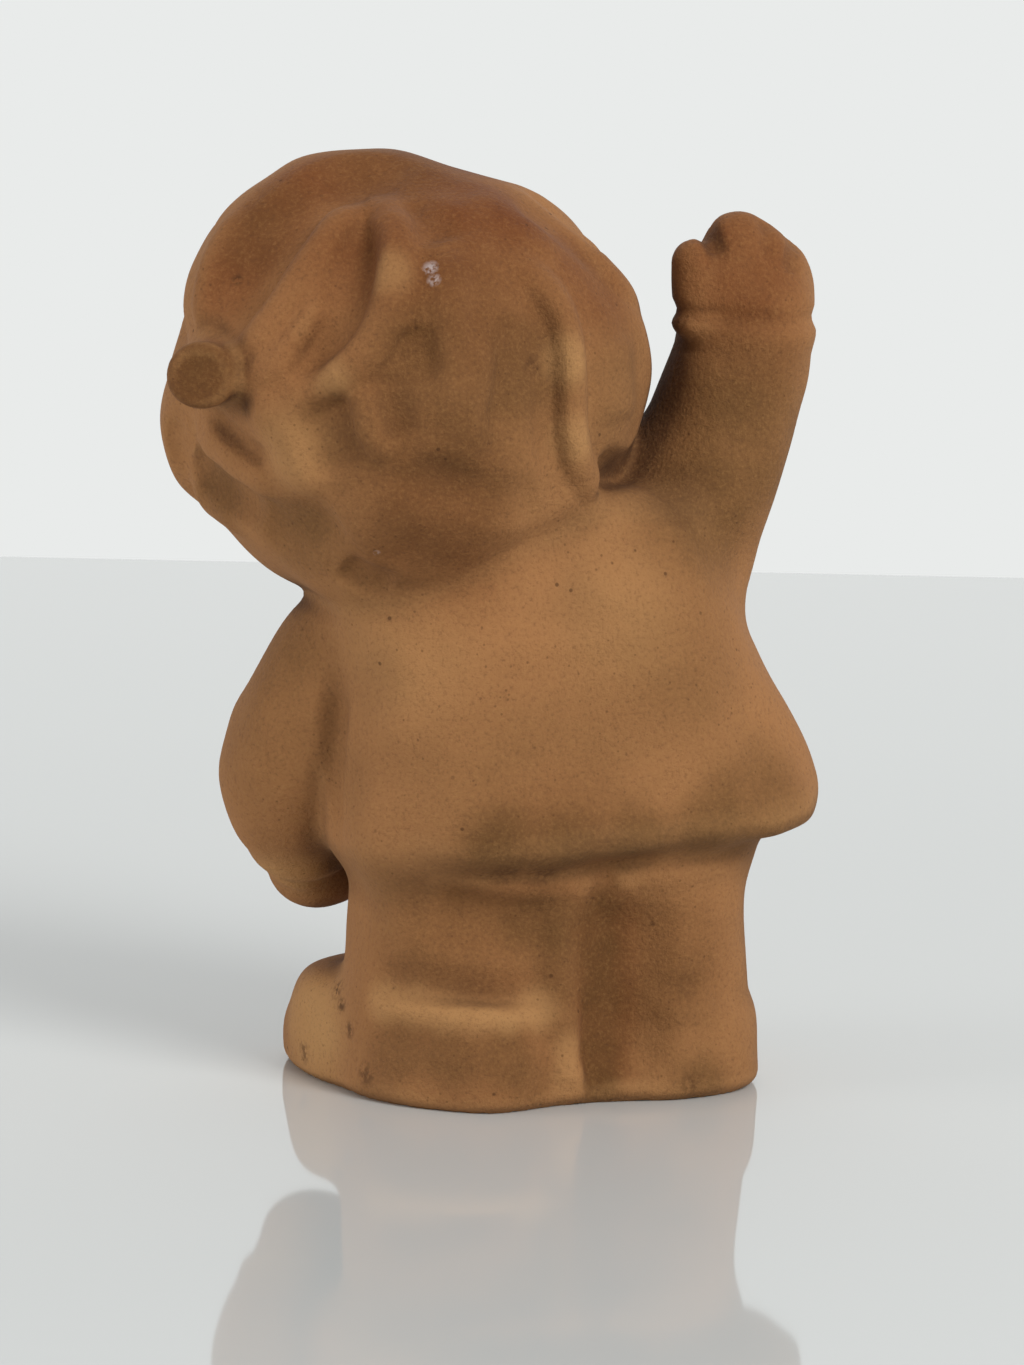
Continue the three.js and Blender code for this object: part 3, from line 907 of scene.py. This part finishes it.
# Red patches: flame colour, and painted shade in the groove between the legs, along the trough of hair
# by the knot and at the nape.
FLAME_AND_SHADE_PATCHES = [
    (0.35, 16.0, (500, 1000)),
    (0.30, 10.0, (560, 850)),
    (0.42, 22.0, (370, 300)),
    (0.9, 9.0, (450, 160)),
    (0.9, 5.0, (330, 172)),
    (0.9, 5.0, (294, 190)),
    (0.9, 5.0, (268, 222)),
    (0.9, 4.5, (246, 256)),
    (0.8, 4.0, (228, 290)),
    (1.0, 10.0, (420, 175)),
    (1.0, 9.0, (500, 215)),
    (0.8, 9.0, (590, 280)),
    (0.9, 9.0, (745, 265)),
    (0.4, 6.0, (350, 270)),
    (0.5, 5.0, (395, 262)),
    (0.6, 9.0, (430, 560)),
    (0.6, 9.0, (440, 490)),
    (0.5, 7.0, (760, 350)),
    (0.6, 9.0, (480, 300)),
    (1.0, 5.0, (203, 374)),
    (1.0, 4.6, (602, 925)),
    (1.0, 4.6, (602, 970)),
    (1.0, 4.6, (602, 1015)),
    (0.9, 4.0, (602, 1060)),
    (0.2, 8.0, (330, 240)),
    (0.6, 8.0, (400, 245)),
    (0.3, 9.0, (670, 960)),
]
# Pale patches: wear and dust, and painted highlights on the boot's ledge, ridges of hair, beside the
# groove and on the left hand.
WEAR_AND_HIGHLIGHT_PATCHES = [
    (1.0, 7.5, (312, 1025)),
    (0.7, 2.8, (385, 1002)),
    (0.7, 2.8, (415, 1005)),
    (0.7, 2.8, (445, 1010)),
    (0.7, 2.8, (475, 1012)),
    (0.7, 2.8, (505, 1012)),
    (0.7, 2.8, (535, 1009)),
    (0.4, 2.4, (568, 1050)),
    (0.4, 2.4, (568, 1080)),
    (0.5, 5.0, (290, 450)),
    (0.5, 3.0, (388, 270)),
    (0.5, 2.6, (330, 378)),
    (0.6, 3.0, (568, 360)),
    (0.6, 3.0, (575, 440)),
    (0.9, 6.0, (298, 878)),
    (0.3, 9.0, (400, 650)),
    (0.3, 8.0, (620, 620)),
]


def patches(rows):
    middles = seen_at(figure, [row[-1] for row in rows])
    clear = np.ones(len(points))
    for (strength, radius, _), middle in zip(rows, middles):
        clear *= 1 - strength * (1 - ramp(length(points - middle), 0.3 * radius, 1.25 * radius))
    return 1 - clear


smoke_and_shade = patches(SMOKE_AND_SHADE_PATCHES)
flame_and_shade = patches(FLAME_AND_SHADE_PATCHES)
wear_and_highlight = patches(WEAR_AND_HIGHLIGHT_PATCHES)
for name, mask in (("smoke_and_shade", smoke_and_shade), ("flame_and_shade", flame_and_shade), ("wear_and_highlight", wear_and_highlight)):
    print(name, "share of the clay:", mask.mean().round(3))

# %% Mesh
mesh = bpy.data.meshes.new("terracotta_figure")
metres = to_metres(points)
mesh.from_pydata(metres.tolist(), [], faces.tolist())
mesh.polygons.foreach_set("use_smooth", np.ones(len(faces), bool))
fields = {"crease_shade_and_dirt": crease_shade_and_dirt, "edge": edge, "smoke_and_shade": smoke_and_shade, "flame_and_shade": flame_and_shade, "wear_and_highlight": wear_and_highlight}
for name, values in fields.items():
    attribute = mesh.attributes.new(name, "FLOAT", "POINT")
    attribute.data.foreach_set("value", values.astype(np.float32))
mesh.validate()
mesh.update()
figure_piece = bpy.data.objects.new("terracotta_figure", mesh)
bpy.context.collection.objects.link(figure_piece)
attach(figure_piece, "root")
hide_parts("haniwa_figure")
print("mesh:", len(mesh.vertices), "points,", len(mesh.attributes), "attributes")

# %% [markdown]
# ## Terracotta
#
# Low-fired red clay, unglazed and dry: it has no shine, a fine sandy grain, and its colour wanders
# with the fire from orange brown to a greyer brown. Red clay minerals have an IOR near 1.55 and a
# bisque surface is rough, near 0.9.

# %% Colour and node helpers
def paint(hex_colour):
    """An sRGB hex colour as linear red, green, blue and full cover."""
    channels = [int(hex_colour[n:n + 2], 16) / 255 for n in (1, 3, 5)]
    linear = [c / 12.92 if c <= 0.04045 else ((c + 0.055) / 1.055) ** 2.4 for c in channels]
    return (*linear, 1.0)


def add(tree, kind, links=None, **settings):
    """Adds a node. Links give a socket a value or another node's output, settings set the node."""
    node = tree.nodes.new(kind)
    for name, value in settings.items():
        setattr(node, name, value)
    for socket, source in (links or {}).items():
        if hasattr(source, "is_output"):
            tree.links.new(source, node.inputs[socket])
        else:
            node.inputs[socket].default_value = source
    return node


def mm(size):
    """Pattern repeats in a metre for a size in millimetres."""
    return 1000 / size


print("middle grey in linear light:", round(paint("#808080")[0], 3))


# %% Clay colours and pattern helpers
CLAY = paint("#A37144")
CLAY_FIRED_GREY = paint("#8E633A")
# Flame red, also used as painted shade.
CLAY_FLAME_RED_AND_SHADE = paint("#713C15")
# Smoke brown, also used as painted shade.
CLAY_SMOKE_AND_SHADE = paint("#5E3E19")
# Dust, also used as painted highlight.
CLAY_DUST_AND_HIGHLIGHT = paint("#BE8F5A")
# Dirt, also used as painted shade in creases.
DIRT_AND_SHADE = paint("#4A2A0F")

terracotta = bpy.data.materials.new("fired_terracotta")
terracotta.use_nodes = True
tree = terracotta.node_tree
tree.nodes.clear()
place = add(tree, "ShaderNodeTexCoord").outputs["Object"]


def noise(size_mm, detail=2.0, roughness=0.5):
    links = {"Vector": place, "Scale": mm(size_mm), "Detail": detail, "Roughness": roughness}
    return add(tree, "ShaderNodeTexNoise", links).outputs["Fac"]


def between(source, start, end, to_start=0.0, to_end=1.0):
    links = {"Value": source, "From Min": start, "From Max": end, "To Min": to_start, "To Max": to_end}
    return add(tree, "ShaderNodeMapRange", links).outputs["Result"]


def times(a, b):
    return add(tree, "ShaderNodeMath", {0: a, 1: b}, operation="MULTIPLY").outputs[0]


def blend(amount, a, b):
    """The colour a, with the colour b over it by an amount from 0 to 1."""
    node = add(tree, "ShaderNodeMix", {"Factor": amount, 6: a, 7: b}, data_type="RGBA")
    return node.outputs[2]


def from_mesh(name):
    return add(tree, "ShaderNodeAttribute", attribute_name=name).outputs["Fac"]


print("terracotta is", [round(c, 3) for c in CLAY[:3]], "in linear light")

# %% [markdown]
# The colour is built up as the kiln and the years did it: the body first, in broad clouds, then
# the red of the flame, the brown of the smoke and the pale rubbed places, which also hold painted
# shade and painted highlights. Noise with grains of a few millimetres breaks up their rims. Dust on
# edges, and dirt with painted shade in creases, come last.

# %% Fired colour, with painted shade and highlights
CLOUD_MM = 14
CLOUD_STRENGTH = 0.35
BREAK_UP_MM = 3.5
EDGE_DUST = 0.25
CREASE_SHADE_STRENGTH = 0.78
FIRE_WEAR_AND_PAINTED_LIGHT = [
    ("flame_and_shade", 0.85, CLAY_FLAME_RED_AND_SHADE),
    ("smoke_and_shade", 0.80, CLAY_SMOKE_AND_SHADE),
    ("wear_and_highlight", 0.80, CLAY_DUST_AND_HIGHLIGHT),
]
clouds = between(noise(CLOUD_MM, 3.0), 0.40, 0.62)
broken = between(noise(BREAK_UP_MM, 3.0, 0.5), 0.30, 0.70, 0.82, 1.12)
colour = blend(times(clouds, CLOUD_STRENGTH), CLAY, CLAY_FIRED_GREY)
# Each tint paints the kiln's colour and, in places, painted shade or painted highlight.
for mask, strength, tint in FIRE_WEAR_AND_PAINTED_LIGHT:
    colour = blend(times(times(from_mesh(mask), broken), strength), colour, tint)
colour = blend(times(between(from_mesh("edge"), 0.10, 0.45), EDGE_DUST), colour, CLAY_DUST_AND_HIGHLIGHT)
# Painted shade and dirt in creases.
colour = blend(times(between(from_mesh("crease_shade_and_dirt"), 0.08, 0.55), CREASE_SHADE_STRENGTH), colour, DIRT_AND_SHADE)
print(len(tree.nodes), "nodes for the fired colour")

# %% [markdown]
# The clay holds fine sand, 0.1 to 0.3 mm across. The grain is drawn at the coarse end of that, since
# finer grains would melt together in the picture. Dark dots of burnt grit lie further apart.

# %% Sand grains and dots of grit
GRAIN_MM = 0.30
PALE_GRAINS = 0.20
DARK_GRAINS = 0.34
GRIT = [(0.8, 0.15, 0.45), (2.4, 0.08, 0.7)]
grain = noise(GRAIN_MM, 3.0, 0.7)
colour = blend(between(grain, 0.50, 0.75, 0.0, PALE_GRAINS), colour, CLAY_DUST_AND_HIGHLIGHT)
colour = blend(between(grain, 0.47, 0.28, 0.0, DARK_GRAINS), colour, DIRT_AND_SHADE)


def dots(apart_mm, size, strength, colour):
    cells = {"Vector": place, "Scale": mm(apart_mm)}
    distance = add(tree, "ShaderNodeTexVoronoi", cells, feature="F1").outputs["Distance"]
    amount = times(between(distance, size, 0.6 * size), between(noise(5 * apart_mm), 0.46, 0.56))
    return blend(times(amount, strength), colour, DIRT_AND_SHADE)


for apart_mm, size, strength in GRIT:
    colour = dots(apart_mm, size, strength, colour)
print("dots of grit are", [round(2 * apart * size, 2) for apart, size, _ in GRIT], "mm wide")

# %% [markdown]
# A few marks of its own: a pale scuff on the crown, a chip of lime, dark dots, and dirt on the toe
# and by the hem. Each is a soft ball around one point of the clay, broken up by fine noise.

# %% Own marks
SCUFF = paint("#B9A6A0")
CRUMB_MM = 0.45
MARKS = [
    (SCUFF, 0.95, 0.75, (431, 268)),
    (SCUFF, 0.85, 0.65, (434, 280)),
    (SCUFF, 0.9, 0.40, (377, 551)),
    (DIRT_AND_SHADE, 1.0, 0.42, (653, 923)),
    (DIRT_AND_SHADE, 0.9, 0.36, (591, 898)),
    (DIRT_AND_SHADE, 0.9, 0.60, (238, 280)),
    (DIRT_AND_SHADE, 0.8, 1.00, (338, 990)),
    (DIRT_AND_SHADE, 0.8, 0.90, (342, 1005)),
    (DIRT_AND_SHADE, 0.7, 0.90, (350, 1030)),
    (DIRT_AND_SHADE, 0.6, 1.10, (305, 1052)),
    (DIRT_AND_SHADE, 0.6, 1.20, (366, 1075)),
    (DIRT_AND_SHADE, 0.5, 1.40, (505, 872)),
    (DIRT_AND_SHADE, 0.5, 1.60, (545, 872)),
    (DIRT_AND_SHADE, 0.5, 1.30, (690, 1084)),
    (DIRT_AND_SHADE, 0.5, 1.20, (530, 365)),
]
crumbs = between(noise(CRUMB_MM, 2.0, 0.6), 0.40, 0.55)
mark_places = to_metres(seen_at(figure, [row[-1] for row in MARKS]))
for (tint, strength, radius, _), middle in zip(MARKS, mark_places):
    centre = {0: place, 1: tuple(middle)}
    apart = add(tree, "ShaderNodeVectorMath", centre, operation="DISTANCE").outputs["Value"]
    amount = times(between(apart, 1.3 * radius * SHARE, 0.4 * radius * SHARE), crumbs)
    colour = blend(times(amount, strength), colour, tint)
print(len(MARKS), "marks of its own")

# %% [markdown]
# The skin is not polished, so every grain stands up or is missing. The same noise that colours the
# grains lifts them by about a tenth of a millimetre, and a coarser one varies that from place to place.

# %% Relief of the grain, and the shader
GRAIN_HEIGHT = 0.00012
PATCHINESS_MM = 1.1
CLAY_IOR = 1.55
DRY_SHEEN = 0.3
patchiness = times(noise(PATCHINESS_MM, 3.0, 0.6), 1.2)
pits = add(tree, "ShaderNodeMath", {0: grain, 1: patchiness}, operation="ADD").outputs[0]
relief = {"Height": pits, "Strength": 1.0, "Distance": GRAIN_HEIGHT}
bump = add(tree, "ShaderNodeBump", relief).outputs["Normal"]
shader = add(tree, "ShaderNodeBsdfPrincipled", {
    "Base Color": colour,
    "Roughness": between(grain, 0.3, 0.7, 0.84, 0.95),
    "IOR": CLAY_IOR,
    "Specular IOR Level": DRY_SHEEN,
    "Normal": bump,
})
add(tree, "ShaderNodeOutputMaterial", {"Surface": shader.outputs["BSDF"]})
mesh.materials.append(terracotta)
print(len(tree.nodes), "nodes in", terracotta.name)

# %% [markdown]
# ## Table and backdrop
#
# The table top is white laminate with a gloss face: smooth melamine with an IOR near 1.6, in which
# the figure mirrors softly. The backdrop is white paper under its own lamps, so it is a plain
# emitter, and it is kept from lighting the figure.

# %% Stage helpers
def plane(name, corners, material):
    flat = bpy.data.meshes.new(name)
    flat.from_pydata(corners, [], [(0, 1, 2, 3)])
    piece = bpy.data.objects.new(name, flat)
    piece.data.materials.append(material)
    bpy.context.collection.objects.link(piece)
    return piece


def plain(name, colour, **sockets):
    material = bpy.data.materials.new(name)
    material.use_nodes = True
    shader = material.node_tree.nodes["Principled BSDF"]
    shader.inputs["Base Color"].default_value = paint(colour)
    for socket, value in sockets.items():
        shader.inputs[socket].default_value = value
    return material


view_turn = np.radians(CAMERA_TURN)
away = np.array([-np.sin(view_turn), np.cos(view_turn), 0.0])
across = np.array([np.cos(view_turn), np.sin(view_turn), 0.0])


def staged(far, side, height=0.0):
    """A place in metres, by how far behind the figure, how far to the right and how high it is."""
    return tuple(away * far + across * side + np.array([0, 0, height]))


print("away from the camera is", away.round(2))

# %% Table
TABLE_FAR = 0.42
TABLE_NEAR = -0.6
TABLE_HALF = 0.8
laminate = plain("white_laminate", "#D9DCDA", Roughness=0.05, IOR=1.60)
table = plane("table", [
    staged(TABLE_NEAR, -TABLE_HALF),
    staged(TABLE_NEAR, TABLE_HALF),
    staged(TABLE_FAR, TABLE_HALF),
    staged(TABLE_FAR, -TABLE_HALF),
], laminate)
print("table", [round(x, 2) for x in table.dimensions], "m")

# %% Backdrop
BACKDROP_FAR = 0.9
BACKDROP_HALF = 1.5
BACKDROP_BOTTOM = -0.8
BACKDROP_TOP = 1.5
paper = bpy.data.materials.new("backdrop_paper")
paper.use_nodes = True
paper.node_tree.nodes.clear()
glow = add(paper.node_tree, "ShaderNodeEmission", {"Color": paint("#E9EBEA"), "Strength": 1.0})
add(paper.node_tree, "ShaderNodeOutputMaterial", {"Surface": glow.outputs["Emission"]})
backdrop = plane("backdrop", [
    staged(BACKDROP_FAR, -BACKDROP_HALF, BACKDROP_BOTTOM),
    staged(BACKDROP_FAR, BACKDROP_HALF, BACKDROP_BOTTOM),
    staged(BACKDROP_FAR, BACKDROP_HALF, BACKDROP_TOP),
    staged(BACKDROP_FAR, -BACKDROP_HALF, BACKDROP_TOP),
], paper)
backdrop.visible_diffuse = False
print("backdrop", BACKDROP_FAR, "m behind the figure")

# %% [markdown]
# ## Light
#
# A soft key light stands high on the right, on the camera's side, so the strands and the legs turn
# dark on their left flanks. A weaker one low on the left fills that shade, and a third brightens the
# far part of the table. The room gives an even, slightly cool light from everywhere.

# %% Lights
FIGURE_MIDDLE = (0, 0, 0.036)
ROOM_STRENGTH = 0.38
# Name, place, width of the disc in metres, power in watts and aim.
LIGHTS = [
    ("key", staged(-0.52, 0.46, 0.50), 0.40, 5.0, FIGURE_MIDDLE),
    ("fill", staged(-0.25, -0.75, 0.16), 0.4, 2.4, FIGURE_MIDDLE),
    ("far_glow", staged(0.48, 0, 0.36), 0.5, 0.65, staged(0.40, 0)),
]


def soft_light(name, place, size, power, aim):
    light = bpy.data.lights.new(name, "AREA")
    light.shape = "DISK"
    light.size = size
    light.energy = power
    lamp = bpy.data.objects.new(name, light)
    lamp.location = place
    way = Vector(aim) - Vector(place)
    lamp.rotation_euler = way.to_track_quat("-Z", "Y").to_euler()
    bpy.context.collection.objects.link(lamp)


for row in LIGHTS:
    soft_light(*row)
world = bpy.data.worlds.new("room")
world.use_nodes = True
room = world.node_tree.nodes["Background"]
room.inputs["Color"].default_value = paint("#EDEEF0")
room.inputs["Strength"].default_value = ROOM_STRENGTH
bpy.context.scene.world = world
bpy.context.scene.view_settings.view_transform = "Standard"
print(len(LIGHTS), "lights, together", sum(row[3] for row in LIGHTS), "W")

# %% Update the scene
bpy.context.view_layer.update()
